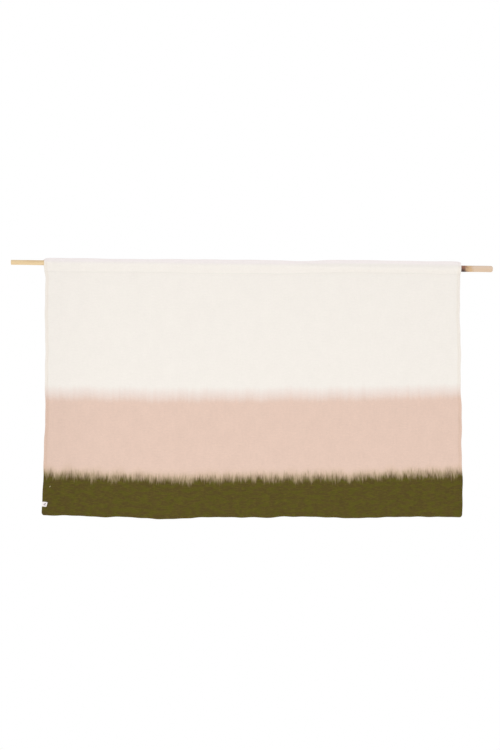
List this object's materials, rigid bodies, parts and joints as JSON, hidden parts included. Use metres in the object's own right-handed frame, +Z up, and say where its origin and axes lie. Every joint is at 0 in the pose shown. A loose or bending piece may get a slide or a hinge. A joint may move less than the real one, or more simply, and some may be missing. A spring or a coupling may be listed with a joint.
{
  "type": "tapestry wall hanging",
  "caption": "Wide dip-dyed cloth wall hanging with a stitched sleeve that slides on a long tapered wooden pole, bare at both ends.",
  "frame": {"origin": "middle of the pole's length, on its axis", "axes": "+X along the pole to the viewer's right (towards its thick end), -Y the front of the cloth, +Z up; the cloth hangs down -Z"},
  "size_m": [1.854, 0.035, 0.9937],
  "materials": {
    "pole_wood": "matte",
    "woven_cloth": "matte",
    "olive_cloth": "matte",
    "sewing_thread": "matte",
    "olive_thread": "matte",
    "label_tape": "satin"
  },
  "bodies": {
    "rod": {"rod": "pole_wood"},
    "sleeve": {"sleeve_front_layer": "woven_cloth", "sleeve_back_layer": "woven_cloth", "sleeve_turned_edge": "woven_cloth", "sleeve_stitching": "sewing_thread", "left_sleeve_hem": "woven_cloth", "right_sleeve_hem": "woven_cloth", "sleeve_hem_stitching": "sewing_thread"},
    "panel": {"cloth_panel": "woven_cloth", "left_side_hem": "woven_cloth", "right_side_hem": "woven_cloth", "bottom_hem": "olive_cloth", "left_hem_stitching": "sewing_thread", "right_hem_stitching": "sewing_thread", "bottom_hem_stitching": "olive_thread", "woven_label": "label_tape", "label_stitching": "sewing_thread"}
  },
  "joints": [
    {"name": "sleeve_slide", "type": "slide", "parent": "rod", "child": "sleeve", "axis": [1, 0, 0], "range_m": [-1.75, 1.75]},
    {"name": "panel_swing", "type": "hinge", "parent": "sleeve", "child": "panel", "pos_m": [0, -0.002, -0.0324], "axis": [-1, 0, 0], "range_deg": [-10, 90]}
  ]
}
